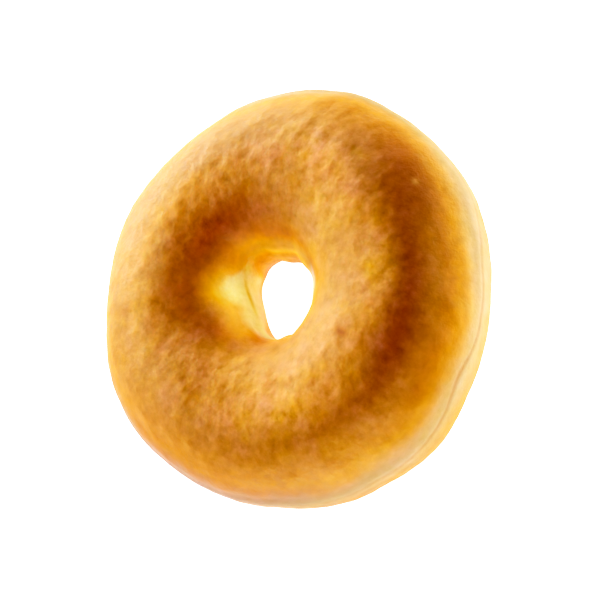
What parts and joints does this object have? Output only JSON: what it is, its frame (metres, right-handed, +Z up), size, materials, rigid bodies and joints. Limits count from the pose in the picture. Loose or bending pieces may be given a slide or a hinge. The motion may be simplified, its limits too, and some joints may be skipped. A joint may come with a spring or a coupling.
{
  "type": "plain ring doughnut",
  "caption": "Plain ring doughnut of raised dough, fried golden brown above and below, with a pale band round its sides and an uneven hole through its middle.",
  "frame": {"origin": "on the surface it rests on, under the middle of the ring's outline", "axes": "+Z up through the hole, with the browner, rounder side on top; X and Y lie across the ring"},
  "size_m": [0.0888, 0.0884, 0.0285],
  "materials": {
    "crust": "fried dough: golden brown skin with a fine crumpled grain and a soft sheen of oil, paling to cream round the sides"
  },
  "bodies": {
    "root": {"doughnut": "crust"}
  },
  "joints": []
}
